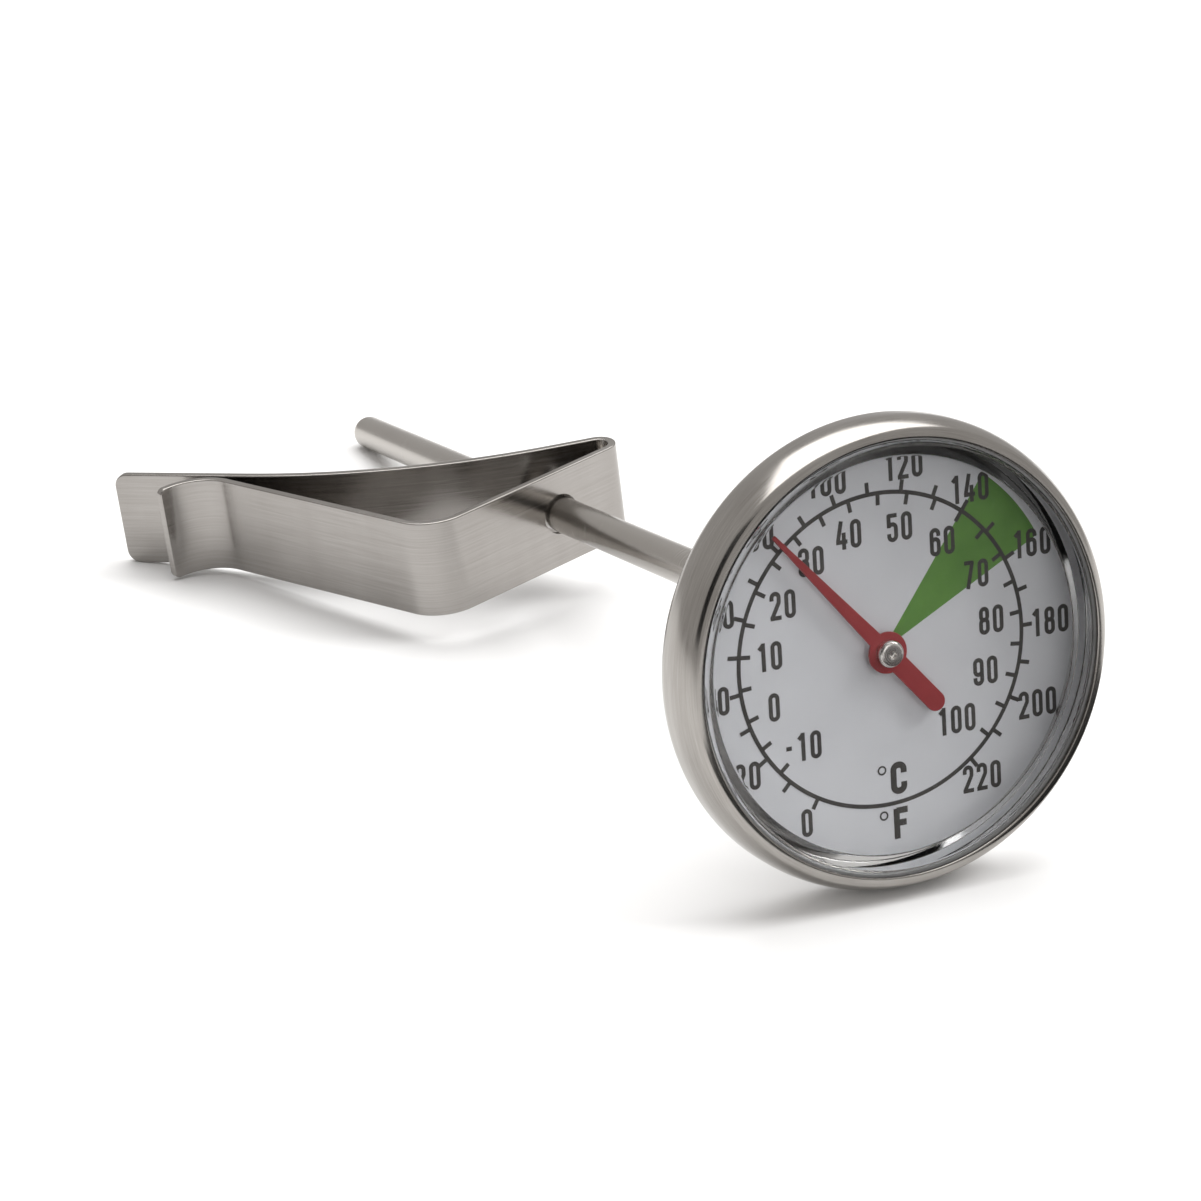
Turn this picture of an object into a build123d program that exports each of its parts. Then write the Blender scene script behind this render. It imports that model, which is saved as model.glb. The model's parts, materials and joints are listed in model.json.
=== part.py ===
from build123d import *
import math
import os

# Dial thermometer with a bimetal stem and a sprung pan clip, lying on a table as it rests by itself.
#
# Everything on the instrument's axis is drawn in the instrument frame: +Z is the way the dial faces,
# +X is to the right of someone reading it, and z = 0 is the front shoulder of the case, where the
# rounded lip meets the straight side. The clip is drawn in its own frame, whose origin lies on the
# stem's axis. Both are then laid on the table: +Z up, the dial facing -Y and the stem towards +Y.

# ---- case, millimetres ----------------------------------------------------
case_radius = 22.5
case_sheet = 0.5
lip_opening_radius = 20.65
lip_height = 1.6                # front of the lip in front of the shoulder
lip_slope_width = 1.05          # the lip slopes back over this width
lip_slope_depth = 1.95
lip_front_bend = 1.0
lip_side_bend = 5.5
rear_round = 2.5
crimp_opening_radius = 18.6
edge_round = 0.15               # broken edges of the sheet

# ---- glazing and dial -----------------------------------------------------
lens_thickness = 2.0
lens_stand = 0.3                # lens face below the front of the lip
lens_gap = 0.3                  # round the lens, inside the lip
lens_bevel = 0.5
lens_flange_drop = 1.3          # flange top below the lens face
lens_skirt = 0.9                # width of the skirt's foot
lens_draft = 1.6                # the skirt opens towards its foot
lens_side_gap = 0.6             # skirt to case wall
gasket_show = 0.2               # gasket stands this far into the gap round the lens
gasket_width = 0.4
dial_depth = 3.7                # printed face behind the shoulder
dial_thickness = 0.4
dial_side_gap = 0.7
dial_hole_gap = 0.5             # round the pointer shaft

# ---- back -----------------------------------------------------------------
plate_thickness = 0.5
plate_side_gap = 1.4
dish_radius = 10.0
dish_depth = 2.0
dish_round = 0.5
seal_thickness = 0.2
seal_width = 1.1

# ---- pointer --------------------------------------------------------------
pointer_angle = 131.4           # from +X, anticlockwise seen from the front: 82 F on the scale
pointer_length = 16.9
pointer_root = 0.8              # half widths of the needle
pointer_tip = 0.2
pointer_tail = 8.3
pointer_tail_width = 1.9
pointer_boss_radius = 2.0
pointer_sheet = 0.3
pointer_lift = 0.8              # above the dial
hub_radius = 1.3
hub_height = 0.9
hub_round = 0.4
dimple_radius = 0.35
dimple_depth = 0.25
shaft_radius = 0.5
shaft_in_hub = 0.4

# ---- stem, its movement and the nut ---------------------------------------
stem_radius = 2.0
stem_wall = 0.25
stem_end = 138.5                # tip behind the shoulder
tip_dome = 4.5                  # length of the solid tip outside the tube
tip_plug = 3.0                  # length of the tip inside the tube
turning_gap = 0.05              # running clearance, shafts and turning faces
collar_radius = 5.0
collar_thickness = 0.85
collar_wall = 1.2               # neck wall round the stem
washer_thickness = 0.4
nut_across_flats = 9.0
nut_height = 3.0
nut_corner_drop = 0.6           # corners domed down to this depth at the end face
bearing_length = 3.0
lower_bearing_to_coil = 6.0
coil_radius = 1.3               # middle of the bimetal strip
coil_strip = 0.2
coil_strip_width = 1.7
coil_pitch = 2.5
coil_turns = 14
coil_hold_gap = 0.1             # coil to the collar and post that it is welded to
shaft_collar_length = 2.0
anchor_length = 4.0

# ---- clip -----------------------------------------------------------------
clip_station = 80.0             # origin of the clip behind the shoulder, along the stem
clip_width = 11.1
clip_sheet = 0.9
clip_stem_gap = 0.3             # round the stem in both holes
clip_corner_round = 1.5
lip_corner_round = 0.8
flexure_gap = 0.3               # between the two pieces at the flexure
# Corners of the strip's middle line seen along its width, with the bend radius at each: x is
# across the stem, y is along it.
fold_corner, fold_bend = (14.1, 1.35), 1.8
front_corner, front_bend = (-17.1, -8.0), 4.55
lip_corner, lip_bend = (-32.9, 24.3), 5.45
lip_end = (-38.2, 22.55)
back_corner, back_bend = (-14.7, 7.95), 72.0
back_end = (-40.7, 30.9)


def turned(*corners):
    """Ring or disc about the instrument axis, from (radius, height, corner round) in order."""
    outline = FilletPolyline(*[(r, z) for r, z, _ in corners],
                             radius=[rounding for _, _, rounding in corners], close=True)
    return revolve(Plane.XZ * make_face(outline), Axis.Z)


def ring(inner, outer, bottom, top):
    """Plain ring between two heights on the instrument axis, or a disc if inner is 0."""
    blank = Pos(0, 0, bottom) * Cylinder(outer, top - bottom, align=(Align.CENTER, Align.CENTER, Align.MIN))
    if inner == 0:
        return blank
    hole = Pos(0, 0, bottom) * Cylinder(inner, top - bottom, align=(Align.CENTER, Align.CENTER, Align.MIN))
    return blank - hole


def bent_sheet(corners, bends, left, right, edge=0):
    """Section of a bent sheet: a line through corners, with the bend radius at each, thickened to
    its left and its right. The sheet's own edges are rounded by edge."""
    points = [Vector(*corner) for corner in corners]
    runs = [(b - a).normalized() for a, b in zip(points, points[1:])]
    normals = [run.rotate(Axis.Z, 90) for run in runs]
    turns = [math.copysign(1, a.cross(b).Z) for a, b in zip(runs, runs[1:])]
    outline, rounds = [], []
    for offset, order in ((left, 1), (-right, -1)):
        mitres = [p + (a + b) * (offset / (1 + a.dot(b)))
                  for p, a, b in zip(points[1:-1], normals, normals[1:])]
        face_line = [points[0] + normals[0] * offset, *mitres, points[-1] + normals[-1] * offset]
        face_rounds = [edge, *[bend - offset * turn for bend, turn in zip(bends, turns)], edge]
        outline += face_line[::order]
        rounds += face_rounds[::order]
    return make_face(FilletPolyline(*outline, radius=rounds, close=True))


# ---- levels on the instrument axis, worked out from the sizes above --------
case_inner = case_radius - case_sheet
lip_under = lip_height - case_sheet
lens_face = lip_height - lens_stand
lens_radius = lip_opening_radius - lens_gap
flange_top = lens_face - lens_flange_drop
skirt_outer = case_inner - lens_side_gap
dial_back = -dial_depth - dial_thickness
rim_back = dial_back - plate_thickness
crimp_inner = rim_back - seal_thickness
crimp_outer = crimp_inner - case_sheet
rear_round_centre = crimp_outer + rear_round
dish_front = dial_back - dish_depth
dish_back = dish_front - plate_thickness
washer_back = dish_front + turning_gap
collar_back = washer_back + washer_thickness
collar_front = collar_back + collar_thickness
nut_front = dish_back - turning_gap
nut_back = nut_front - nut_height
neck_radius = stem_radius + collar_wall
stem_bore = stem_radius - stem_wall
shaft_hole = shaft_radius + turning_gap
tube_end = -stem_end + tip_dome
plug_top = tube_end + tip_plug
anchor_top = plug_top + anchor_length
coil_bottom = plug_top + anchor_length / 2
coil_top = coil_bottom + coil_pitch * coil_turns
coil_hold_radius = coil_radius - coil_strip / 2 - coil_hold_gap
shaft_end = coil_top - shaft_collar_length / 2
lower_bearing_back = coil_top + lower_bearing_to_coil
pointer_back = -dial_depth + pointer_lift
pointer_front = pointer_back + pointer_sheet


# ---- head -----------------------------------------------------------------
def make_bezel_shell():
    """One drawn cup: rolled lip, side, and the rear edge crimped in over the back plate."""
    outside = [(lip_opening_radius, lip_height),
               (case_radius - lip_slope_width, lip_height),
               (case_radius, lip_height - lip_slope_depth),
               (case_radius, crimp_outer),
               (crimp_opening_radius, crimp_outer)]
    section = bent_sheet(outside, [lip_front_bend, lip_side_bend, rear_round], 0, case_sheet, edge_round)
    return revolve(Plane.XZ * section, Axis.Z)


def make_lens():
    """Clear cover with a raised face inside the lip and a skirt that holds the dial down."""
    lens_back = lens_face - lens_thickness
    return turned((0, lens_face, 0),
                  (lens_radius - lens_bevel, lens_face, 0),
                  (lens_radius, lens_face - lens_bevel, 0),
                  (lens_radius, flange_top, 0),
                  (skirt_outer, flange_top, edge_round),
                  (skirt_outer, -dial_depth, 0),
                  (skirt_outer - lens_skirt, -dial_depth, 0),
                  (skirt_outer - lens_skirt - lens_draft, lens_back, edge_round),
                  (0, lens_back, 0))


def make_lens_gasket():
    inner = lip_opening_radius - gasket_show
    return ring(inner, inner + gasket_width, flange_top, lip_under)


def make_dial_plate():
    return ring(shaft_radius + dial_hole_gap, case_inner - dial_side_gap, dial_back, -dial_depth)


def make_back_plate():
    """Pressed plate with a dished middle, bored for the neck of the stem collar."""
    rim = case_inner - plate_side_gap
    outside = plate_thickness * math.tan(math.radians(22.5))     # a 45 degree wall of even thickness
    hole = neck_radius + turning_gap
    return turned((hole, dish_front, 0),
                  (dish_radius, dish_front, dish_round),
                  (dish_radius + dish_depth, dial_back, dish_round),
                  (rim, dial_back, 0),
                  (rim, rim_back, 0),
                  (dish_radius + dish_depth + outside, rim_back, dish_round),
                  (dish_radius + outside, dish_back, dish_round),
                  (hole, dish_back, 0))


def make_back_seal():
    outer = case_inner - (rear_round - case_sheet)
    return ring(outer - seal_width, outer, crimp_inner, rim_back)


# ---- stem -----------------------------------------------------------------
def make_stem_tube():
    return ring(stem_bore, stem_radius, tube_end, collar_front)


def make_stem_tip():
    """Solid end: a plug in the tube, then the round nose that ends the stem."""
    nose = Pos(0, 0, -stem_end + stem_radius) * Sphere(stem_radius)
    barrel = ring(0, stem_radius, -stem_end + stem_radius, tube_end)
    return ring(0, stem_bore, tube_end, plug_top) + barrel + nose


def make_stem_collar():
    """Sleeve pressed on the stem, with a flange inside the case and a neck through the back plate."""
    flange = ring(stem_radius, collar_radius, collar_back, collar_front)
    return flange + ring(stem_radius, neck_radius, nut_back, collar_back)


def make_friction_washer():
    return ring(neck_radius, collar_radius, washer_back, collar_back)


def make_calibration_nut():
    """Hexagon fixed on the neck: it is held with a spanner while the head is turned."""
    flat = nut_across_flats / 2
    corner = flat / math.cos(math.radians(30))
    blank = Pos(0, 0, nut_back) * extrude(RegularPolygon(corner, 6), nut_height)
    # A ball that meets the end face at the flats and the corners a little further in.
    ball_centre = (corner**2 - flat**2 + nut_corner_drop**2) / (2 * nut_corner_drop)
    ball = Pos(0, 0, nut_back + ball_centre) * Sphere(math.hypot(flat, ball_centre))
    return (blank & ball) - ring(0, neck_radius, nut_back, nut_front)


def make_upper_bearing():
    return ring(shaft_hole, stem_bore, collar_front - bearing_length, collar_front)


def make_lower_bearing():
    return ring(shaft_hole, stem_bore, lower_bearing_back, lower_bearing_back + bearing_length)


def make_coil_anchor():
    return ring(0, coil_hold_radius, plug_top, anchor_top)


def make_bimetal_coil():
    """Helical bimetal strip, welded to the anchor post below and to the shaft's collar above."""
    helix = Helix(coil_pitch, coil_pitch * coil_turns, coil_radius)
    start = Plane(origin=helix @ 0, x_dir=(1, 0, 0), z_dir=helix % 0)
    strip = start * Rectangle(coil_strip, coil_strip_width)
    return Pos(0, 0, coil_bottom) * sweep(strip, path=helix, is_frenet=True)


# ---- pointer --------------------------------------------------------------
def make_pointer_shaft():
    return ring(0, shaft_radius, shaft_end, pointer_front + shaft_in_hub)


def make_shaft_collar():
    return ring(shaft_radius, coil_hold_radius, shaft_end, shaft_end + shaft_collar_length)


def make_pointer():
    """Flat stamping: needle, round boss and counterweight tail."""
    needle = make_face(Polyline((0, -pointer_root), (pointer_length, -pointer_tip),
                                (pointer_length, pointer_tip), (0, pointer_root), close=True))
    tail_half = pointer_tail_width / 2
    tail = Pos(tail_half - pointer_tail, 0) * Circle(tail_half)
    tail += Pos((tail_half - pointer_tail) / 2, 0) * Rectangle(pointer_tail - tail_half, pointer_tail_width)
    outline = needle + tail + Circle(pointer_boss_radius) - Circle(shaft_radius)
    return Pos(0, 0, pointer_back) * Rot(Z=pointer_angle) * extrude(outline, pointer_sheet)


def make_pointer_hub():
    """Cap pressed on the end of the shaft, with the small punch mark of its riveting."""
    top = pointer_front + hub_height
    cap = turned((0, top, 0), (hub_radius, top, hub_round), (hub_radius, pointer_front, 0),
                 (0, pointer_front, 0))
    cap -= ring(0, shaft_radius, pointer_front, pointer_front + shaft_in_hub)
    return cap - ring(0, dimple_radius, top - dimple_depth, top)


# ---- where the two frames stand on the table --------------------------------
def resting_angle(lever, drop, sink):
    """Angle a for which lever * sin(a) - drop * cos(a) = sink."""
    return math.atan2(drop, lever) + math.asin(sink / math.hypot(lever, drop))


# The rear round of the case and the round nose of the stem both touch the table.
stem_tilt = resting_angle(stem_end - stem_radius + rear_round_centre, case_radius - rear_round,
                          rear_round - stem_radius)
head_height = ((case_radius - rear_round) * math.cos(stem_tilt) + rear_round
               - rear_round_centre * math.sin(stem_tilt))
clip_height = head_height - clip_station * math.sin(stem_tilt)
# The clip lies level along the stem and rolls until the end of its back leg touches too.
back_slope = math.atan2(back_end[1] - back_corner[1], back_corner[0] - back_end[0])
clip_reach = -back_end[0] - clip_corner_round * math.cos(back_slope)
clip_roll = resting_angle(clip_reach, -clip_width / 2, clip_height)

instrument_frame = Pos(0, 0, head_height) * Rot(X=90 - math.degrees(stem_tilt))
clip_frame = (Pos(0, clip_station * math.cos(stem_tilt), clip_height)
              * Rot(Y=-math.degrees(clip_roll)))


# ---- clip -----------------------------------------------------------------
def make_strip(corners, bends):
    """Strip of even thickness standing on its middle line, from the corners and their bend radii."""
    section = bent_sheet(corners, bends, clip_sheet / 2, clip_sheet / 2)
    return extrude(section, clip_width / 2, both=True)


def round_end(strip, end, radius):
    """Round the two corners of the strip's end that lies nearest a point of its middle line."""
    end_face = strip.faces().sort_by_distance(Vector(*end, 0))[0]
    corners = [edge for edge in end_face.edges() if abs(edge.length - clip_sheet) < clip_sheet / 100]
    return fillet(corners, radius)


def make_stem_hole():
    """The way that the stem takes through the clip, in the clip's frame."""
    bore = Cylinder(stem_radius + clip_stem_gap, 4 * clip_width)
    return clip_frame.inverse() * instrument_frame * Pos(0, 0, -clip_station) * bore


front_turn = math.radians(Vector(*lip_corner).sub(Vector(*front_corner)).get_angle(
    Vector(*front_corner).sub(Vector(*fold_corner))))
jaw_run = (Vector(*lip_corner) - Vector(*front_corner)).normalized()
flexure = Vector(*front_corner) + jaw_run * (front_bend * math.tan(front_turn / 2) + flexure_gap)


def make_clip_back():
    """Back leg, tight fold, short leg and front bend, with the two holes that grip the stem."""
    near_flexure = flexure - jaw_run * flexure_gap / 2
    strip = make_strip([back_end, back_corner, fold_corner, front_corner, (near_flexure.X, near_flexure.Y)],
                       [back_bend, fold_bend, front_bend])
    return round_end(strip, back_end, clip_corner_round) - make_stem_hole()


def make_clip_jaw():
    """Jaw leg with the flared lip that a pan's edge pushes open."""
    past_flexure = flexure + jaw_run * flexure_gap / 2
    strip = make_strip([(past_flexure.X, past_flexure.Y), lip_corner, lip_end], [lip_bend])
    return round_end(strip, lip_end, lip_corner_round)


# ---- the whole thermometer ------------------------------------------------
on_axis = {
    "bezel_shell": make_bezel_shell,
    "lens": make_lens,
    "lens_gasket": make_lens_gasket,
    "dial_plate": make_dial_plate,
    "back_plate": make_back_plate,
    "back_seal": make_back_seal,
    "stem_tube": make_stem_tube,
    "stem_tip": make_stem_tip,
    "stem_collar": make_stem_collar,
    "friction_washer": make_friction_washer,
    "calibration_nut": make_calibration_nut,
    "upper_bearing": make_upper_bearing,
    "lower_bearing": make_lower_bearing,
    "coil_anchor": make_coil_anchor,
    "bimetal_coil": make_bimetal_coil,
    "pointer_shaft": make_pointer_shaft,
    "shaft_collar": make_shaft_collar,
    "pointer": make_pointer,
    "pointer_hub": make_pointer_hub,
}
in_clip = {
    "clip_back": make_clip_back,
    "clip_jaw": make_clip_jaw,
}

pieces = {name: instrument_frame * make() for name, make in on_axis.items()}
pieces.update({name: clip_frame * make() for name, make in in_clip.items()})

# The origin is the middle of the bottom of the whole object's box, on the table.
box = pieces["bezel_shell"].bounding_box()
for piece in pieces.values():
    box = box.add(piece.bounding_box())
to_origin = Pos(-box.center().X, -box.center().Y, -box.min.Z)

os.makedirs("parts", exist_ok=True)
for name, piece in pieces.items():
    export_step(to_origin * piece, f"parts/{name}.step")

print(f"{len(pieces)} pieces, {box.size.X:.1f} x {box.size.Y:.1f} x {box.size.Z:.1f} mm, "
      f"stem tilt {math.degrees(stem_tilt):.2f}, clip roll {math.degrees(clip_roll):.2f}")
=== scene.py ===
# %% [markdown]
# # A dial thermometer, piece by piece
# The thermometer has a round dial head, a thin steel stem and a sprung steel clip that hangs it on
# the edge of a pan. The working model already holds every part at its real size, so this notebook
# only adds the looks. Whatever the eye rests on is modelled again with soft edges, and each finish is
# built from shader nodes.

# %% Load the working model
import bpy
import bmesh
import json
import math
from mathutils import Matrix, Vector


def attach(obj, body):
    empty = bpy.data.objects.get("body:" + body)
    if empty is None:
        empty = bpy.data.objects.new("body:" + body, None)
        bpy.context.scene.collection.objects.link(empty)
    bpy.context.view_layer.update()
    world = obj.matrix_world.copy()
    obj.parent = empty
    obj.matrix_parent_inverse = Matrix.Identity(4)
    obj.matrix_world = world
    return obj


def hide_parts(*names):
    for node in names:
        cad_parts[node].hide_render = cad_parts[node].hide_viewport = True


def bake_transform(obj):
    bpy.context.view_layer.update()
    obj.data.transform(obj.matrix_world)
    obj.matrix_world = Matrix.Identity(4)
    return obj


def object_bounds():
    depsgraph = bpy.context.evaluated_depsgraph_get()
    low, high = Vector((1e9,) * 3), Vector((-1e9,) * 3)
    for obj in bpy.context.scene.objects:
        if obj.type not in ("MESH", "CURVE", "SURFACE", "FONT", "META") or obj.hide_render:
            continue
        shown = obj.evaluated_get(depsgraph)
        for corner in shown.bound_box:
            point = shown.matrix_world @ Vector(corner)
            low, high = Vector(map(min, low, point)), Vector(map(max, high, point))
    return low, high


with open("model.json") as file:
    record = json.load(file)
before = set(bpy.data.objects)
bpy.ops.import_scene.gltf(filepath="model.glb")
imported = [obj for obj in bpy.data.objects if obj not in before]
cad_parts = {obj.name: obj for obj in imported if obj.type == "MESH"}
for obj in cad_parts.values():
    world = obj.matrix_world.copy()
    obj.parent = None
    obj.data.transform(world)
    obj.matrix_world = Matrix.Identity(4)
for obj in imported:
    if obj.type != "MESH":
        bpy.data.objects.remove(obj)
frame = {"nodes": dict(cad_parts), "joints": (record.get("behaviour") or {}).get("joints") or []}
cad_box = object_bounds()
joints = {joint["name"]: joint for joint in frame["joints"]}
mm = 0.001

# %% [markdown]
# ## Two drawing frames
# Everything round is turned about the stem's axis, so it is easiest to draw it on that axis and lay
# it in place at the end. The dial frame has its origin on the axis at the case's front shoulder, +Z
# the way the dial faces and +X to the reader's right. The clip is bent from flat strip, so its frame
# has +Z across the strip's width and +Y along the stem.

# %% Place both frames
shoulder = Vector(joints["pointer_turn"]["pos_m"])
facing = Vector(joints["pointer_turn"]["axis"]).normalized()
reader_right = Vector((1, 0, 0))
reader_up = facing.cross(reader_right)
dial_frame = Matrix((reader_right, reader_up, facing)).transposed().to_4x4()
dial_frame.translation = shoulder

clip_station = 80 * mm
strip_up = Vector(joints["jaw_open"]["axis"]).normalized()
strip_along = Vector((0, 1, 0))
clip_frame = Matrix((strip_along.cross(strip_up), strip_along, strip_up)).transposed().to_4x4()
clip_frame.translation = shoulder - facing * clip_station
print("the dial looks up", round(math.degrees(math.asin(facing.z)), 1), "degrees")

# %% [markdown]
# ## Camera
# The picture is taken from the reader's left and from above, with a long lens close to the table.

# %% Set the camera
camera_azimuth = math.radians(24.81)
camera_elevation = math.radians(21.92)
camera_offset = Vector((-149.49, -258.07, 125.12)) * mm
camera_data = bpy.data.cameras.new("camera")
camera_data.lens = 104.84
camera_data.sensor_width = 36
camera_data.clip_start = 0.01
camera = bpy.data.objects.new("camera", camera_data)
bpy.context.scene.collection.objects.link(camera)
camera.location = shoulder + camera_offset
camera.rotation_euler = (math.pi / 2 - camera_elevation, 0, -camera_azimuth)
bpy.context.scene.camera = camera
print("camera at", [round(c, 4) for c in camera.location])

# %% [markdown]
# ## Table and light
# A pale seamless table with broad soft lights gives white metal its long smooth reflections. Bare
# metal only shows its shape where something dark is reflected too, so a photographer stands black
# cards round it. One stands on the left for the case. One lies in front, where the cover would mirror
# the bright table. They are seen in reflections and through the cover only.

# %% Table, lights and cards
def plain_material(name, colour, roughness):
    """A matt material for the table and the cards."""
    material = bpy.data.materials.new(name)
    material.use_nodes = True
    shader = material.node_tree.nodes["Principled BSDF"]
    shader.inputs["Base Color"].default_value = (*colour, 1)
    shader.inputs["Roughness"].default_value = roughness
    return material


def stage_plane(name, width, height, location, looks_at, material):
    """A rectangle of the studio that faces a point."""
    shape = bmesh.new()
    bmesh.ops.create_grid(shape, x_segments=1, y_segments=1, size=0.5)
    bmesh.ops.scale(shape, vec=(width, height, 1), verts=shape.verts)
    mesh = bpy.data.meshes.new(name)
    shape.to_mesh(mesh)
    shape.free()
    mesh.materials.append(material)
    plane = bpy.data.objects.new(name, mesh)
    bpy.context.scene.collection.objects.link(plane)
    plane.location = location
    plane.rotation_euler = (Vector(looks_at) - Vector(location)).to_track_quat("Z", "Y").to_euler()
    return plane


def soft_light(name, width, height, location, looks_at, power, mirrored=True):
    """A softbox. One that isn't mirrored lights the object without showing up in its metal."""
    data = bpy.data.lights.new(name, "AREA")
    data.shape = "RECTANGLE"
    data.size = width
    data.size_y = height
    data.energy = power
    light = bpy.data.objects.new(name, data)
    bpy.context.scene.collection.objects.link(light)
    light.location = location
    light.rotation_euler = (Vector(looks_at) - Vector(location)).to_track_quat("-Z", "Y").to_euler()
    light.visible_glossy = mirrored
    return light


middle = (cad_box[0] + cad_box[1]) / 2
table_white = plain_material("table_white", (0.9, 0.9, 0.9), 0.6)
table = stage_plane("table", 4, 4, (0, 0, 0), (0, 0, 1), table_white)
soft_light("overhead", 0.8, 0.8, (0.12, 0.2, 0.75), middle, 6)
soft_light("key", 0.3, 0.3, (0.5, -0.2, 0.5), middle, 2.4, mirrored=False)
soft_light("fill", 0.3, 0.3, shoulder + Vector((0.05, -0.6, 0.25)), shoulder, 0.45, mirrored=False)
black_card = plain_material("black_card", (0.01, 0.01, 0.01), 0.9)
left_place = shoulder + Vector((-0.39, -0.19, 0.25))
left_card = stage_plane("left_card", 0.42, 0.42, left_place, shoulder, black_card)
cloth_place = shoulder + Vector((0.16, -0.305, 0.001 - shoulder.z))
cloth_turn = math.radians(27.8)
front_cloth = stage_plane("front_cloth", 0.12, 0.66, cloth_place, cloth_place + Vector((0, 0, 1)), black_card)
front_cloth.rotation_euler = (0, 0, cloth_turn)
for card in (left_card, front_cloth):
    card.visible_camera = card.visible_diffuse = card.visible_shadow = False
world = bpy.data.worlds.new("studio")
bpy.context.scene.world = world
world.use_nodes = True
world.node_tree.nodes["Background"].inputs["Color"].default_value = (1, 0.975, 0.95, 1)
world.node_tree.nodes["Background"].inputs["Strength"].default_value = 0.56
bpy.context.scene.view_settings.view_transform = "Standard"
print("studio ready")

# %% [markdown]
# ## Finishes
# Brushed steel is mostly its scratches: they run one way, they change how rough the metal is and they
# tilt the surface a little. So each steel here has one streak pattern, stretched along the way that the
# part was ground, which drives colour, roughness and bump together. A slower pattern adds the smudges
# that handling leaves.

# %% A starting point for every finish
def new_finish(name, colour, metallic, roughness, frame_matrix=dial_frame):
    """A material whose pattern is laid out in one of the drawing frames. Returns its useful parts."""
    material = bpy.data.materials.new(name)
    material.use_nodes = True
    tree = material.node_tree
    shader = tree.nodes["Principled BSDF"]
    shader.inputs["Base Color"].default_value = (*colour, 1)
    shader.inputs["Metallic"].default_value = metallic
    shader.inputs["Roughness"].default_value = roughness
    place = tree.nodes.new("ShaderNodeTexCoord")
    mapping = tree.nodes.new("ShaderNodeMapping")
    mapping.vector_type = "POINT"
    inverse = frame_matrix.inverted()
    mapping.inputs["Location"].default_value = inverse.translation
    mapping.inputs["Rotation"].default_value = inverse.to_euler()
    tree.links.new(place.outputs["Object"], mapping.inputs["Vector"])
    return material, tree, shader, mapping.outputs["Vector"]


def math_node(tree, operation, *values):
    """One sum, with numbers or other nodes' results as its terms."""
    node = tree.nodes.new("ShaderNodeMath")
    node.operation = operation
    for socket, value in zip(node.inputs, values):
        if isinstance(value, bpy.types.NodeSocket):
            tree.links.new(value, socket)
        else:
            socket.default_value = value
    return node.outputs[0]


def noise(tree, vector, scale, detail=3, w=None):
    """Cloudy pattern from 0 to 1, with a fourth direction if w is given."""
    node = tree.nodes.new("ShaderNodeTexNoise")
    node.inputs["Scale"].default_value = scale
    node.inputs["Detail"].default_value = detail
    tree.links.new(vector, node.inputs["Vector"])
    if w is not None:
        node.noise_dimensions = "4D"
        tree.links.new(w, node.inputs["W"])
    return node.outputs["Fac"]


def spread(tree, value, low, high):
    """A pattern's middle range stretched out to run from low to high."""
    node = tree.nodes.new("ShaderNodeMapRange")
    node.inputs["From Min"].default_value = 0.3
    node.inputs["From Max"].default_value = 0.7
    node.inputs["To Min"].default_value = low
    node.inputs["To Max"].default_value = high
    tree.links.new(value, node.inputs["Value"])
    return node.outputs["Result"]


def blend_colours(tree, amount, first, second):
    """Between two colours by a pattern."""
    node = tree.nodes.new("ShaderNodeMix")
    node.data_type = "RGBA"
    node.inputs["A"].default_value = (*first, 1)
    node.inputs["B"].default_value = (*second, 1)
    tree.links.new(amount, node.inputs["Factor"])
    return node.outputs["Result"]


def bump(tree, shader, height, depth):
    """Relief of a real depth in metres from a pattern of 0 to 1."""
    node = tree.nodes.new("ShaderNodeBump")
    node.inputs["Strength"].default_value = 1
    node.inputs["Distance"].default_value = depth
    tree.links.new(height, node.inputs["Height"])
    tree.links.new(node.outputs["Normal"], shader.inputs["Normal"])


def grind(tree, shader, streaks, smudges, colours, roughness, depth):
    """Drive a steel's colour, roughness and relief from its streaks and its smudges."""
    tone = math_node(tree, "ADD", math_node(tree, "MULTIPLY", streaks, 0.6),
                     math_node(tree, "MULTIPLY", smudges, 0.4))
    tree.links.new(blend_colours(tree, spread(tree, tone, 0, 1), *colours), shader.inputs["Base Color"])
    tree.links.new(spread(tree, tone, *roughness), shader.inputs["Roughness"])
    bump(tree, shader, streaks, depth)


print("finish helpers ready")

# %% [markdown]
# ### Steel that was turned while it was brushed
# The case and the dished back were polished on a lathe, so their streaks run in circles round the
# axis. The pattern is read by radius and height, and only slowly by direction, which makes streaks a
# few millimetres long without a seam anywhere.

# %% Circular brushing
def turned_steel(name, colours, roughness, streak_scale, depth):
    material, tree, shader, vector = new_finish(name, colours[0], 1, roughness[0])
    parts = tree.nodes.new("ShaderNodeSeparateXYZ")
    tree.links.new(vector, parts.inputs[0])
    x, y, z = parts.outputs
    across = math_node(tree, "SQRT", math_node(tree, "ADD", math_node(tree, "MULTIPLY", x, x),
                                               math_node(tree, "MULTIPLY", y, y)))
    lathe = tree.nodes.new("ShaderNodeCombineXYZ")
    tree.links.new(math_node(tree, "MULTIPLY", across, streak_scale), lathe.inputs[0])
    tree.links.new(math_node(tree, "MULTIPLY", z, streak_scale), lathe.inputs[1])
    tree.links.new(math_node(tree, "MULTIPLY", x, 260), lathe.inputs[2])
    streaks = noise(tree, lathe.outputs[0], 1, 2, math_node(tree, "MULTIPLY", y, 260))
    grind(tree, shader, streaks, noise(tree, vector, 130), colours, roughness, depth)
    return material


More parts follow.
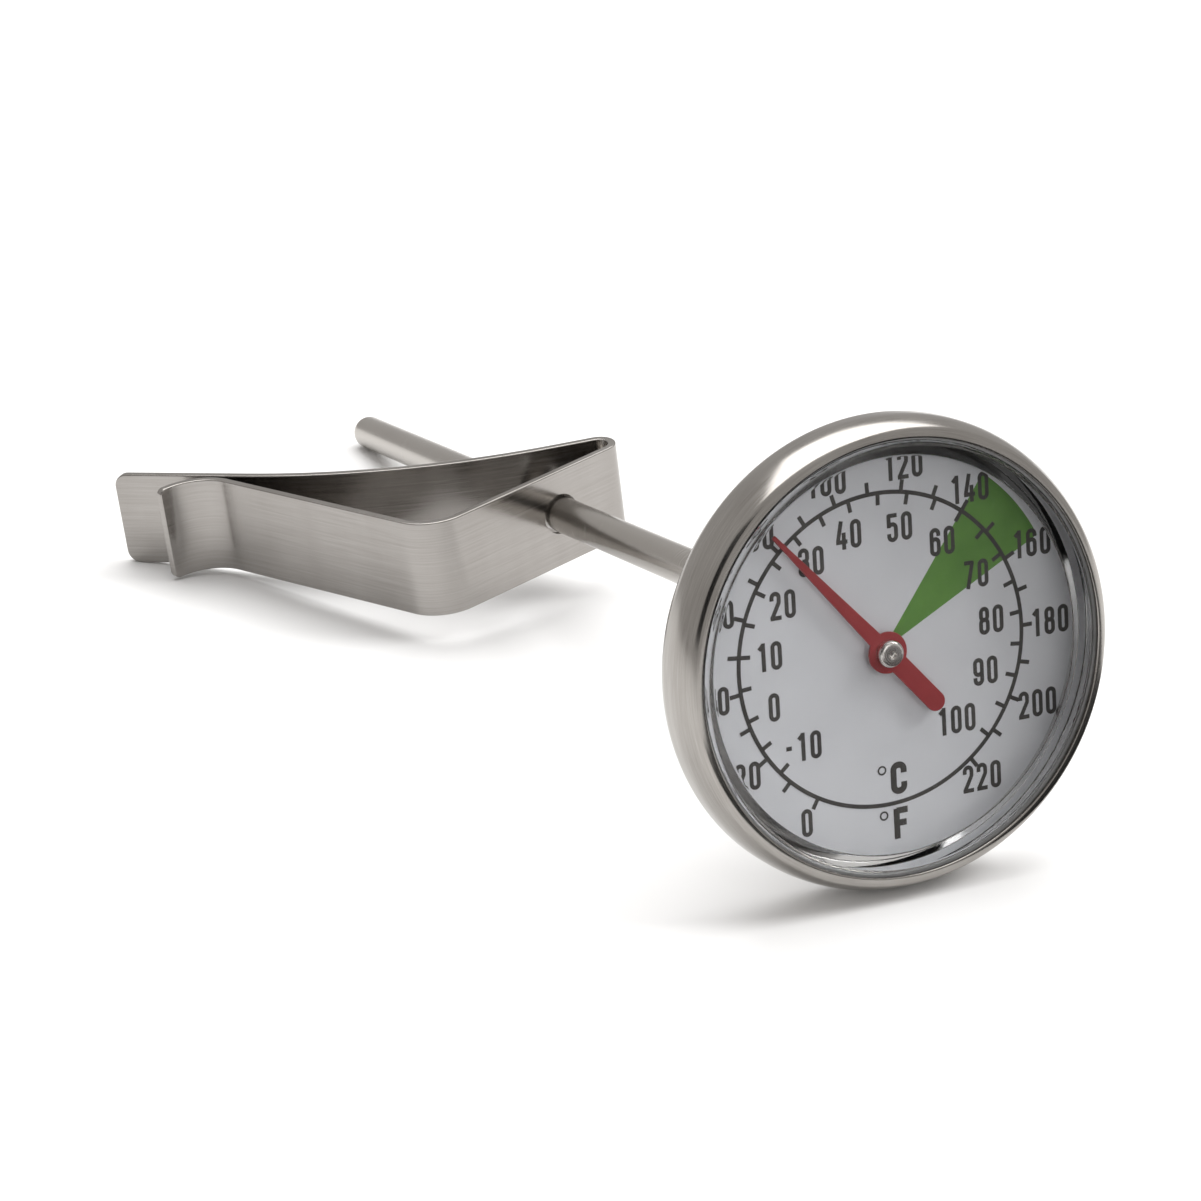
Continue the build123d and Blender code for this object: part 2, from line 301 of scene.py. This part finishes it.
case_steel = turned_steel("case_steel", ((0.31, 0.292, 0.273), (0.43, 0.412, 0.39)),
                          (0.14, 0.25), 9000, 0.8e-6)
stem_steel = turned_steel("stem_steel", ((0.43, 0.405, 0.38), (0.47, 0.45, 0.42)),
                          (0.22, 0.28), 14000, 0.08e-6)
back_steel = turned_steel("back_steel", ((0.33, 0.315, 0.30), (0.43, 0.415, 0.40)),
                          (0.24, 0.38), 6000, 1.2e-6)
hub_steel = turned_steel("hub_steel", ((0.62, 0.59, 0.56), (0.74, 0.71, 0.68)),
                         (0.2, 0.3), 12000, 0.6e-6)
bearing_brass = turned_steel("bearing_brass", ((0.62, 0.45, 0.2), (0.78, 0.60, 0.32)),
                             (0.22, 0.36), 8000, 1e-6)
print("turned finishes ready")

# %% [markdown]
# ### Rolled strip
# The clip was cut from cold rolled strip. It is glossier than the case, with a very fine grain
# along the strip and soft cloudy marks where fingers have been.

# %% Rolled finishes
def rolled_steel(name, colours, roughness, depth, frame_matrix=clip_frame):
    material, tree, shader, vector = new_finish(name, colours[0], 1, roughness[0], frame_matrix)
    grain = tree.nodes.new("ShaderNodeMapping")
    grain.inputs["Scale"].default_value = (120, 120, 6000)
    tree.links.new(vector, grain.inputs["Vector"])
    clouds = tree.nodes.new("ShaderNodeMapping")
    clouds.inputs["Scale"].default_value = (260, 260, 70)
    tree.links.new(vector, clouds.inputs["Vector"])
    grind(tree, shader, noise(tree, grain.outputs[0], 1, 2), noise(tree, clouds.outputs[0], 1, 4),
          colours, roughness, depth)
    return material


clip_steel = rolled_steel("clip_steel", ((0.305, 0.288, 0.27), (0.385, 0.367, 0.35)), (0.15, 0.27), 0.5e-6)
bimetal = rolled_steel("bimetal", ((0.42, 0.37, 0.31), (0.56, 0.52, 0.46)), (0.3, 0.45), 1e-6, dial_frame)
print("rolled finishes ready")

# %% [markdown]
# ### Paint, ink and rubber
# The dial is stove enamel with a faint orange peel, the scale is screen printed on it in a thick ink
# that is never quite even, and the pointer is dipped in red paint.

# %% Coated finishes
def coated(name, dark, light, roughness, scale, depth, coat=0.0):
    material, tree, shader, vector = new_finish(name, light, 0, roughness)
    shader.inputs["Coat Weight"].default_value = coat
    shader.inputs["Coat Roughness"].default_value = 0.12
    grains = noise(tree, vector, scale, 3)
    patches = noise(tree, vector, scale / 12, 2)
    tone = math_node(tree, "ADD", math_node(tree, "MULTIPLY", grains, 0.35),
                     math_node(tree, "MULTIPLY", patches, 0.65))
    tree.links.new(blend_colours(tree, spread(tree, tone, 0, 1), dark, light), shader.inputs["Base Color"])
    tree.links.new(spread(tree, tone, roughness, roughness * 1.25), shader.inputs["Roughness"])
    bump(tree, shader, grains, depth)
    return material


dial_enamel = coated("dial_enamel", (0.66, 0.66, 0.69), (0.71, 0.71, 0.74), 0.4, 2600, 1.5e-6)
scale_ink = coated("scale_ink", (0.045, 0.04, 0.038), (0.075, 0.068, 0.064), 0.45, 5200, 2e-6)
green_ink = coated("green_ink", (0.10, 0.235, 0.045), (0.135, 0.29, 0.06), 0.42, 5200, 2e-6)
pointer_paint = coated("pointer_paint", (0.28, 0.03, 0.034), (0.34, 0.042, 0.046), 0.32, 4200, 2e-6, 0.4)
seal_rubber = coated("seal_rubber", (0.16, 0.16, 0.16), (0.22, 0.22, 0.22), 0.6, 3000, 4e-6)
print("coated finishes ready")

# %% [markdown]
# ### Clear cover
# The cover is moulded acrylic. It has to be a real solid with a refracting surface, because the
# bright rings at its edge are the skirt and the step seen through its own thickness. Very faint
# wear on its face keeps the reflections from looking computed. Light from the lamps goes straight
# through it, or the dial behind it would lie in its shadow.

# %% Clear acrylic
def clear_acrylic():
    material, tree, shader, vector = new_finish("clear_acrylic", (0.985, 0.99, 0.99), 0, 0.02)
    shader.inputs["Transmission Weight"].default_value = 1
    shader.inputs["IOR"].default_value = 1.49
    wear = noise(tree, vector, 420, 4)
    tree.links.new(spread(tree, wear, 0.0, 0.05), shader.inputs["Roughness"])
    bump(tree, shader, noise(tree, vector, 90, 1), 2e-6)
    lamp_ray = tree.nodes.new("ShaderNodeLightPath").outputs["Is Shadow Ray"]
    lets_through = tree.nodes.new("ShaderNodeBsdfTransparent")
    lets_through.inputs["Color"].default_value = (0.93, 0.94, 0.94, 1)
    either = tree.nodes.new("ShaderNodeMixShader")
    tree.links.new(lamp_ray, either.inputs["Fac"])
    tree.links.new(shader.outputs["BSDF"], either.inputs[1])
    tree.links.new(lets_through.outputs["BSDF"], either.inputs[2])
    tree.links.new(either.outputs["Shader"], tree.nodes["Material Output"].inputs["Surface"])
    return material


acrylic = clear_acrylic()
print("acrylic ready")

# %% [markdown]
# ## Tools for drawing
# Two shapes make nearly everything here: a line that runs straight between corners and turns on a
# true arc at each, and that line spun round the axis. Drawing it like bent wire, one run and one
# spin at a time, keeps every arc exact.

# %% Bent lines and turned shapes
def bent_line(corners, bends, steps=8, shape=None):
    """Edges through flat corners (x, y), with an arc of the given radius at each inner corner."""
    shape = shape or bmesh.new()
    points = [Vector((x, y, 0)) for x, y in corners]
    tip = shape.verts.new(points[0])
    for before, corner, after, bend in zip(points, points[1:], points[2:], bends):
        run, turned_run = (corner - before).normalized(), (after - corner).normalized()
        turn = run.angle(turned_run) * (1 if run.cross(turned_run).z > 0 else -1)
        tip = carry(shape, tip, corner - run * bend * math.tan(abs(turn) / 2))
        if bend:
            side = Vector((-run.y, run.x, 0)) * math.copysign(bend, turn)
            arc = bmesh.ops.spin(shape, geom=[tip], cent=tip.co + side, axis=(0, 0, 1), angle=turn,
                                 steps=steps)
            tip = [v for v in arc["geom_last"] if isinstance(v, bmesh.types.BMVert)][0]
    carry(shape, tip, points[-1])
    return shape


def carry(shape, tip, target):
    """Draw a straight edge from the line's tip to a target."""
    if (target - tip.co).length < 1e-7:
        return tip
    new_tip = bmesh.ops.extrude_vert_indiv(shape, verts=[tip])["verts"][0]
    bmesh.ops.translate(shape, verts=[new_tip], vec=target - tip.co)
    return new_tip


def turned(corners, bends, steps=144, bend_steps=8):
    """Spin a line drawn as (radius, height) corners once round the axis, in millimetres."""
    shape = bent_line([(r * mm, z * mm) for r, z in corners], [b * mm for b in bends], bend_steps)
    bmesh.ops.rotate(shape, verts=shape.verts, cent=(0, 0, 0), matrix=Matrix.Rotation(math.pi / 2, 3, "X"))
    bmesh.ops.spin(shape, geom=shape.verts[:] + shape.edges[:], cent=(0, 0, 0), axis=(0, 0, 1),
                   angle=2 * math.pi, steps=steps, use_merge=True)
    return shape


def span(node):
    """Back, front, inner radius and outer radius of a turned part in the dial frame, in millimetres."""
    to_dial = dial_frame.inverted()
    points = [to_dial @ vertex.co for vertex in frame["nodes"][node].data.vertices]
    heights = [p.z / mm for p in points]
    radii = [math.hypot(p.x, p.y) / mm for p in points]
    return min(heights), max(heights), min(radii), max(radii)


def settle(shape, name, place, material, body=None):
    """Finish a mesh: lay it in place, close its seams, face it outwards and hang it on its body."""
    bmesh.ops.transform(shape, matrix=place, verts=shape.verts)
    bmesh.ops.remove_doubles(shape, verts=shape.verts, dist=1e-6)
    bmesh.ops.recalc_face_normals(shape, faces=shape.faces)
    for face in shape.faces:
        face.smooth = True
    mesh = bpy.data.meshes.new(name)
    shape.to_mesh(mesh)
    shape.free()
    mesh.materials.append(material)
    piece = bpy.data.objects.new(name, mesh)
    bpy.context.scene.collection.objects.link(piece)
    if body:
        even_shading(piece)
        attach(piece, body)
    print(name, len(mesh.polygons), "faces")
    return piece


def even_shading(piece):
    """Let the large flat faces decide the shading, so that small rounds read as crisp edges."""
    weighted = piece.modifiers.new("even_shading", "WEIGHTED_NORMAL")
    weighted.keep_sharp = True


print("drawing tools ready")

# %% [markdown]
# ## Case
# The case is one drawn cup of half millimetre sheet. Its lip rolls forwards over the cover, slopes
# back to the side and is crimped in behind. The section is a closed line that goes out along the
# outside and home along the inside, with every bend's inner radius smaller by the sheet.

# %% Case shell
case_back, case_front, case_opening, case_radius = span("bezel_shell")
sheet = 0.5
lip_opening = 20.65
slope_width = 1.05
slope_depth = 1.95
slope = math.atan2(slope_width, slope_depth)
front_mitre = sheet * math.tan((math.pi / 2 - slope) / 2)
side_mitre = sheet * math.tan(slope / 2)
edge = 0.15
case_outside = [(lip_opening, case_front - sheet / 2), (lip_opening, case_front),
                (case_radius - slope_width, case_front), (case_radius, case_front - slope_depth),
                (case_radius, case_back), (case_opening, case_back), (case_opening, case_back + sheet)]
case_inside = [(case_radius - sheet, case_back + sheet),
               (case_radius - sheet, case_front - slope_depth - side_mitre),
               (case_radius - slope_width - front_mitre, case_front - sheet),
               (lip_opening, case_front - sheet), (lip_opening, case_front - sheet / 2)]
shape = turned(case_outside + case_inside,
               [edge, 1.0, 5.5, 2.5, edge, edge, 2.0, 5.0, 0.5, edge], steps=192)
case = settle(shape, "case", dial_frame, case_steel, "head")
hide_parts("bezel_shell")

# %% [markdown]
# ## Cover
# The cover's face stands up inside the lip. Behind it a flange is trapped under the lip and a skirt
# runs down to the dial.

# %% Cover
skirt_foot, lens_face, _, skirt_radius = span("lens")
lens_radius = 20.35
lens_thickness = 2.0
flange_drop = 1.3
skirt_width = 0.9
skirt_draft = 1.6
skirt_foot += 0.02              # a breath of air between the skirt and the enamel
shape = turned([(0, lens_face), (lens_radius, lens_face), (lens_radius, lens_face - flange_drop),
                (skirt_radius, lens_face - flange_drop), (skirt_radius, skirt_foot),
                (skirt_radius - skirt_width, skirt_foot),
                (skirt_radius - skirt_width - skirt_draft, lens_face - lens_thickness),
                (0, lens_face - lens_thickness)],
               [0.45, 0.1, 0.1, 0.1, 0.1, 0.3], steps=192)
cover = settle(shape, "cover", dial_frame, acrylic, "head")
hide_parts("lens")

# %% [markdown]
# ## Stem
# The stem is a thin tube closed by a solid round nose.

# %% Stem
tube_top = span("stem_tube")[1]
stem_end, _, _, stem_radius = span("stem_tip")
tube_bore = stem_radius - 0.25
shape = turned([(0, stem_end), (stem_radius, stem_end), (stem_radius, tube_top),
                (tube_bore, tube_top), (tube_bore, tube_top - 3), (0, tube_top - 3)],
               [stem_radius * 0.98, 0.05, 0.05, 0.05], steps=64, bend_steps=16)
stem = settle(shape, "stem", dial_frame, stem_steel, "stem")
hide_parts("stem_tube", "stem_tip")

# %% [markdown]
# ## Back
# From behind one sees the crimped edge, the dished plate and the nut that is held while the head is
# turned to set it.

# %% Back plate and nut
plate_back, plate_front, plate_hole, plate_rim = span("back_plate")
plate_thickness = 0.5
dish_radius = 10.0
dish_depth = plate_front - plate_thickness - plate_back
wall_shift = plate_thickness * math.tan(math.pi / 8)
shape = turned([(plate_hole, plate_back + plate_thickness), (dish_radius, plate_back + plate_thickness),
                (dish_radius + dish_depth, plate_front), (plate_rim, plate_front),
                (plate_rim, plate_front - plate_thickness),
                (dish_radius + dish_depth + wall_shift, plate_front - plate_thickness),
                (dish_radius + wall_shift, plate_back), (plate_hole, plate_back),
                (plate_hole, plate_back + plate_thickness)],
               [0.5, 0.5, 0.1, 0.1, 0.5, 0.5, 0.08], steps=144)
back = settle(shape, "back_cover", dial_frame, back_steel, "head")
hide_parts("back_plate")

# %% [markdown]
# A nut starts as a turned bar with a coned end, and its six flats are milled afterwards. The same two
# steps work here: spin the blank, then slice a flat off six times.

# %% Calibration nut
nut_back, nut_front, nut_hole, nut_corner = span("calibration_nut")
nut_flat = nut_corner * math.cos(math.pi / 6)
nut_cone = 0.6
shape = turned([(nut_hole, nut_back), (nut_flat, nut_back), (nut_corner, nut_back + nut_cone),
                (nut_corner, nut_front), (nut_hole, nut_front), (nut_hole, nut_back)],
               [0.2, 0.2, 0, 0.05], steps=96, bend_steps=4)
bmesh.ops.remove_doubles(shape, verts=shape.verts, dist=1e-6)
for flat in range(6):
    outwards = Matrix.Rotation(math.radians(30 + 60 * flat), 3, "Z") @ Vector((1, 0, 0))
    cut = bmesh.ops.bisect_plane(shape, geom=shape.verts[:] + shape.edges[:] + shape.faces[:],
                                 plane_co=outwards * nut_flat * mm, plane_no=outwards, clear_outer=True)
    cut_edges = [e for e in cut["geom_cut"] if isinstance(e, bmesh.types.BMEdge)]
    bmesh.ops.contextual_create(shape, geom=cut_edges)
nut = settle(shape, "nut", dial_frame, back_steel)
rounding = nut.modifiers.new("broken_edges", "BEVEL")
rounding.width = 0.1 * mm
rounding.segments = 2
rounding.limit_method = "ANGLE"
rounding.angle_limit = math.radians(20)
even_shading(nut)
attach(nut, "stem")
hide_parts("calibration_nut")

# %% [markdown]
# ## Pointer
# The pointer is a stamping, so its outline is already right in the working model. A copy of that mesh
# only needs its triangles joined and its edges broken. The cap on its shaft is turned, with the
# punch mark of its riveting.

# %% Pointer and hub
shape = bmesh.new()
shape.from_mesh(frame["nodes"]["pointer"].data)
bmesh.ops.remove_doubles(shape, verts=shape.verts, dist=1e-6)
bmesh.ops.dissolve_limit(shape, angle_limit=math.radians(1), verts=shape.verts, edges=shape.edges)
red_pointer = settle(shape, "red_pointer", Matrix.Identity(4), pointer_paint)
rounding = red_pointer.modifiers.new("stamped_edges", "BEVEL")
rounding.width = 0.06 * mm
rounding.segments = 2
rounding.limit_method = "ANGLE"
rounding.angle_limit = math.radians(50)
even_shading(red_pointer)
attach(red_pointer, "pointer")
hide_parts("pointer")

hub_back, hub_front, _, hub_radius = span("pointer_hub")
punch_radius = 0.35
punch_depth = 0.25
shape = turned([(0, hub_front - punch_depth), (punch_radius, hub_front - punch_depth),
                (punch_radius, hub_front), (hub_radius, hub_front), (hub_radius, hub_back), (0, hub_back)],
               [0.2, 0.05, 0.4, 0.05], steps=64)
hub = settle(shape, "hub_cap", dial_frame, hub_steel, "pointer")
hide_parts("pointer_hub")

# %% [markdown]
# ## Dial print
# The scale is drawn with the same bent lines. Each line is pulled up into a hair-thin wall and a
# Solidify modifier gives it the width of the pen. The figures are drawn in the narrow engineer's style
# that dials use, where every bowl is half a circle on a pair of straight sides. Some numbers sit a
# little to one side of their tick, as the printer placed them.

# %% Pen and scale
dial_front = span("dial_plate")[1]
ink = 0.03
pen = 0.40
scale_start = 239.95
degrees_per_fahrenheit = 1.334
ring_radius = 14.95
tick = 1.15


def scale_angle(fahrenheit):
    """Where a temperature stands on the dial, in radians from the reader's right."""
    return math.radians(scale_start - degrees_per_fahrenheit * fahrenheit)


def celsius_angle(celsius):
    return scale_angle(32 + 1.8 * celsius)


def print_on_dial(name, lines, width, bend_steps=6):
    """Print lines on the dial with a pen of one width. Each line is its corners and its bends."""
    shape = bmesh.new()
    for corners, bends in lines:
        bent_line([(x * mm, y * mm) for x, y in corners], [b * mm for b in bends], bend_steps, shape)
    bmesh.ops.remove_doubles(shape, verts=shape.verts, dist=1e-6)
    walls = bmesh.ops.extrude_edge_only(shape, edges=shape.edges[:])["geom"]
    tops = [v for v in walls if isinstance(v, bmesh.types.BMVert)]
    bmesh.ops.translate(shape, verts=tops, vec=(0, 0, ink * mm))
    bmesh.ops.translate(shape, verts=shape.verts, vec=(0, 0, dial_front * mm))
    piece = settle(shape, name, dial_frame, scale_ink)
    piece.data.polygons.foreach_set("use_smooth", [False] * len(piece.data.polygons))
    wide = piece.modifiers.new("pen", "SOLIDIFY")
    wide.thickness = width * mm
    wide.offset = 0
    wide.use_even_offset = True
    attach(piece, "head")
    return piece


def radial_line(angle, start, end):
    return [(start * math.cos(angle), start * math.sin(angle)),
            (end * math.cos(angle), end * math.sin(angle))], []


def bowl(left, bottom, right, high, bend):
    """A closed rounded box, drawn from the middle of its foot."""
    foot = ((left + right) / 2, bottom)
    return [foot, (right, bottom), (right, high), (left, high), (left, bottom), foot], [bend] * 4


def circle(x, y, radius):
    """A bowl whose four bends meet."""
    return bowl(x - radius, y - radius, x + radius, y + radius, radius)


outer_ticks = [radial_line(scale_angle(t), ring_radius, ring_radius + tick) for t in range(0, 221, 10)]
inner_ticks = [radial_line(celsius_angle(t), ring_radius, ring_radius - tick) for t in range(-10, 101, 5)]
print_on_dial("scale_ring", [circle(0, 0, ring_radius)], pen, 45)
print_on_dial("scale_ticks", outer_ticks + inner_ticks, pen)

# %% Figures
w, h = 0.365, 1.15              # half the width and height of a figure, along the middle of the pen
top = h + pen / 2
six = [bowl(-w, -h, w, 0.28, w), ([(w, 0.55), (w, h), (-w, h), (-w, -0.4)], [w, w])]
figures = {
    "0": [bowl(-w, -h, w, h, w)],
    "1": [([(0.08, top), (0.08, -top)], []), ([(-0.36, 0.74), (0.0, 1.1)], [])],
    "2": [([(-w, 0.5), (-w, h), (w, h), (w, 0.3), (-w + 0.02, -h + 0.1)], [w, w, 0.4]),
          ([(-w - 0.2, -h), (w + 0.2, -h)], [])],
    "3": [([(-w, 0.55), (-w, h), (w, h), (w, 0.1), (-0.12, 0.1)], [w, w, 0.3]),
          ([(-0.08, 0.06), (w, 0.06), (w, -h), (-w, -h), (-w, -0.55)], [0.3, w, w])],
    "4": [([(0.02, top), (-w - 0.02, -0.6)], []), ([(-w - 0.2, -0.62), (w + 0.24, -0.62)], []),
          ([(w - 0.12, 0.25), (w - 0.12, -top)], [])],
    "5": [([(w + 0.14, h), (-w, h), (-w, 0.02)], [0.02]),
          ([(-w + 0.03, 0.05), (-w + 0.03, 0.32), (w, 0.32), (w, -h), (-w, -h), (-w, -0.55)],
           [0.25, w, w, w])],
    "6": six,
    "7": [([(-w - 0.12, h), (w, h), (-0.16, -top)], [0.04])],
    "8": [bowl(-w, -h, w, 0.1, w), bowl(0.03 - w, 0.06, w - 0.03, h, w - 0.03)],
    "9": [([(-x, -y) for x, y in corners], bends) for corners, bends in six],
    "-": [([(-0.28, 0.05), (0.28, 0.05)], [])],
    "C": [([(0.5, 0.4), (0.5, h), (-0.5, h), (-0.5, -h), (0.5, -h), (0.5, -0.4)], [0.45] * 4)],
    "F": [([(-w, top), (-w, -top)], []), ([(-w, h), (w + 0.35, h)], []), ([(-w, 0.05), (w + 0.2, 0.05)], [])],
}
letter_space = 1.5
one_space = 1.3


def written(text, x, y, size=1.0):
    """The lines of an upright word about a middle point."""
    spaces = [one_space if letter == "1" else letter_space for letter in text]
    lines, left = [], x - sum(spaces) * size / 2
    for letter, space in zip(text, spaces):
        middle_x = left + space * size / 2
        for corners, bends in figures[letter]:
            moved = [(middle_x + cx * size, y + cy * size) for cx, cy in corners]
            lines.append((moved, [b * size for b in bends]))
        left += space * size
    return lines


fahrenheit_radius = 17.5
celsius_radius = 11.75
fahrenheit_shift = {140: -0.5, 160: 0.8, 180: 0.65, 200: 0.8, 220: -0.35}
celsius_shift = {0: -0.3, 30: -0.2, 40: -0.7, 50: -0.25, 60: -0.25, 90: -0.25, 100: -1.0}
numerals = []
for t in range(0, 221, 20):
    a = scale_angle(t)
    x = fahrenheit_radius * math.cos(a) + fahrenheit_shift.get(t, 0)
    numerals += written(str(t), x, fahrenheit_radius * math.sin(a))
for t in range(-10, 101, 10):
    a = celsius_angle(t)
    x = celsius_radius * math.cos(a) + celsius_shift.get(t, 0)
    numerals += written(str(t), x, celsius_radius * math.sin(a))
print_on_dial("numerals", numerals, pen)
unit_size = 1.1
unit_x = 1.1
celsius_y, fahrenheit_y = -12.55, -17.0
unit_pen = 0.62
unit_letters = written("C", unit_x, celsius_y, unit_size) + written("F", unit_x, fahrenheit_y, unit_size)
print_on_dial("unit_letters", unit_letters, unit_pen)
degree_radius = 0.38
degree_x = -0.65
degree_pen = 0.16
degree_rings = [circle(degree_x, y + 1, degree_radius) for y in (celsius_y, fahrenheit_y)]
print_on_dial("degree_rings", degree_rings, degree_pen)

# %% [markdown]
# The green sector marks the range to stop in. It is a separate, thinner layer of ink that the scale
# is printed over, so it gets its own piece: one radius swept through an angle.

# %% Green sector
sector_inner, sector_outer = 1.3, 19.0
green_ink_thickness = 0.015
sector_start, sector_end = scale_angle(160), scale_angle(140)
shape = bent_line([(sector_inner * mm, 0), (sector_outer * mm, 0)], [])
bmesh.ops.rotate(shape, verts=shape.verts, cent=(0, 0, 0), matrix=Matrix.Rotation(sector_start, 3, "Z"))
bmesh.ops.spin(shape, geom=shape.verts[:] + shape.edges[:], cent=(0, 0, 0), axis=(0, 0, 1),
               angle=sector_end - sector_start, steps=32)
raised = bmesh.ops.extrude_face_region(shape, geom=shape.faces[:])["geom"]
bmesh.ops.translate(shape, verts=[v for v in raised if isinstance(v, bmesh.types.BMVert)],
                    vec=(0, 0, green_ink_thickness * mm))
bmesh.ops.translate(shape, verts=shape.verts, vec=(0, 0, dial_front * mm))
sector = settle(shape, "green_sector", dial_frame, green_ink)
sector.data.polygons.foreach_set("use_smooth", [False] * len(sector.data.polygons))
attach(sector, "head")

# %% [markdown]
# ## Clip
# The clip is one strip of spring steel. It is drawn as a bent middle line, pulled up to its width and
# given its thickness. The long edges are broken a little, as a tumbled strip's are, and that thin
# bright line is what makes it read as metal. The jaw leaf is a second piece that starts where the
# spring flexes.

# %% Strip tools
strip_width = 11.1
strip_sheet = 0.9
strip_edge = 0.14
stem_clearance = 0.3


def evaluated(piece):
    """The mesh of a piece with its modifiers applied, as a new bmesh."""
    bpy.context.view_layer.update()
    mesh = bpy.data.meshes.new_from_object(piece.evaluated_get(bpy.context.evaluated_depsgraph_get()))
    shape = bmesh.new()
    shape.from_mesh(mesh)
    bpy.data.meshes.remove(mesh)
    return shape


def scratch_object(shape, name):
    """Put a bmesh in an object for as long as a modifier needs it."""
    mesh = bpy.data.meshes.new(name)
    shape.to_mesh(mesh)
    shape.free()
    piece = bpy.data.objects.new(name, mesh)
    bpy.context.scene.collection.objects.link(piece)
    return piece


def discard(piece):
    mesh = piece.data
    bpy.data.objects.remove(piece)
    bpy.data.meshes.remove(mesh)


def strip_leaf(corners, bends, free_end, free_round, seam, spacing):
    """A leaf of the strip. Its free end has rounded corners and its seam end stays square."""
    shape = bent_line([(x * mm, y * mm) for x, y in corners], [b * mm for b in bends], 20)
    long_runs = [e for e in shape.edges if e.calc_length() > 2 * spacing * mm]
    for run in long_runs:
        bmesh.ops.subdivide_edges(shape, edges=[run], cuts=int(run.calc_length() / (spacing * mm)))
    sides = bmesh.ops.extrude_edge_only(shape, edges=shape.edges[:])["geom"]
    bmesh.ops.translate(shape, verts=[v for v in sides if isinstance(v, bmesh.types.BMVert)],
                        vec=(0, 0, strip_width * mm))
    bmesh.ops.translate(shape, verts=shape.verts, vec=(0, 0, -strip_width / 2 * mm))
    end = Vector(free_end) * mm
    end_corners = [v for v in shape.verts if (v.co.to_2d() - end).length < 1e-6]
    bmesh.ops.bevel(shape, geom=end_corners, offset=free_round * mm, offset_type="OFFSET", segments=10,
                    profile=0.5, affect="VERTICES", material=-1)
    leaf = scratch_object(shape, "leaf_sheet")
    thick = leaf.modifiers.new("sheet", "SOLIDIFY")
    thick.thickness = strip_sheet * mm
    thick.offset = 0
    thick.use_even_offset = True
    shape = evaluated(leaf)
    discard(leaf)
    seam_point, seam_run = Vector((*seam[0], 0)) * mm, Vector((*seam[1], 0)).normalized()
    at_seam = {v for v in shape.verts
               if abs((v.co - seam_point).dot(seam_run)) < 1e-5 and (v.co - seam_point).to_2d().length < mm}
    sharp = [e for e in shape.edges
             if e.calc_face_angle(0) > math.radians(50) and not at_seam.issuperset(e.verts)]
    bmesh.ops.bevel(shape, geom=sharp, offset=strip_edge * mm, offset_type="OFFSET", segments=3,
                    profile=0.5, affect="EDGES", material=-1, clamp_overlap=True)
    return shape


def mark_seam(shape, seam):
    """Keep the joint between the two leaves crisp in the shading, so that it can't be seen."""
    seam_point, seam_run = Vector((*seam[0], 0)) * mm, Vector((*seam[1], 0)).normalized()
    for face in shape.faces:
        from_seam = face.calc_center_median() - seam_point
        faces_seam = abs(face.normal.dot(seam_run)) > 0.99
        if faces_seam and abs(from_seam.dot(seam_run)) < 1e-5 and from_seam.to_2d().length < mm:
            for e in face.edges:
                e.smooth = False


print("strip tools ready")

# %% Clip leaves
fold_corner, fold_bend = (14.1, 1.35), 1.8
front_corner, front_bend = (-17.1, -8.0), 4.55
lip_corner, lip_bend = (-32.9, 24.3), 5.45
lip_end = (-38.2, 22.55)
back_corner, back_bend = (-14.7, 7.95), 72.0
back_end = (-40.7, 30.9)
flexure = clip_frame.inverted() @ Vector(joints["jaw_open"]["pos_m"]) / mm
seam = (flexure.to_2d()[:], (lip_corner[0] - front_corner[0], lip_corner[1] - front_corner[1]))

shape = strip_leaf([back_end, back_corner, fold_corner, front_corner, seam[0]],
                   [back_bend, fold_bend, front_bend], back_end, 1.5, seam, 3)
bmesh.ops.recalc_face_normals(shape, faces=shape.faces)
leaf = scratch_object(shape, "spring_blank")
shape = bmesh.new()
bmesh.ops.create_cone(shape, cap_ends=True, segments=64, radius1=(stem_radius + stem_clearance) * mm,
                      radius2=(stem_radius + stem_clearance) * mm, depth=4 * strip_width * mm)
bmesh.ops.transform(shape, verts=shape.verts, matrix=clip_frame.inverted() @ dial_frame
                    @ Matrix.Translation((0, 0, -clip_station)))
drill = scratch_object(shape, "drill")
holes = leaf.modifiers.new("stem_holes", "BOOLEAN")
holes.object = drill
holes.solver = "EXACT"
shape = evaluated(leaf)
discard(drill)
discard(leaf)
mark_seam(shape, seam)
for e in shape.edges:
    if e.calc_face_angle(0) > math.radians(60):
        e.smooth = False
spring = settle(shape, "clip_spring", clip_frame, clip_steel, "clip")
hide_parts("clip_back")

shape = strip_leaf([seam[0], lip_corner, lip_end], [lip_bend], lip_end, 0.8, seam, 1)
mark_seam(shape, seam)
jaw_blank = settle(shape, "jaw_blank", clip_frame, clip_steel)
even_shading(jaw_blank)
bpy.context.view_layer.update()
jaw_mesh = bpy.data.meshes.new_from_object(jaw_blank.evaluated_get(bpy.context.evaluated_depsgraph_get()))
discard(jaw_blank)
jaw = bpy.data.objects.new("clip_jaw_leaf", jaw_mesh)
bpy.context.scene.collection.objects.link(jaw)
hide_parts("clip_jaw")
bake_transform(jaw)
print("jaw leaf", len(jaw_mesh.polygons), "faces")

# %% [markdown]
# ## Parts that keep their working shape
# The seals, the dial disc and everything inside the stem are already right, so they only take a
# finish.

# %% Finish the carried-over parts
def paint(material, *nodes):
    for node in nodes:
        data = frame["nodes"][node].data
        data.materials.clear()
        data.materials.append(material)


paint(dial_enamel, "dial_plate")
paint(seal_rubber, "lens_gasket", "back_seal")
paint(back_steel, "stem_collar")
paint(bimetal, "bimetal_coil", "friction_washer")
paint(stem_steel, "pointer_shaft", "coil_anchor", "shaft_collar")
paint(bearing_brass, "upper_bearing", "lower_bearing")
print("carried-over parts finished")
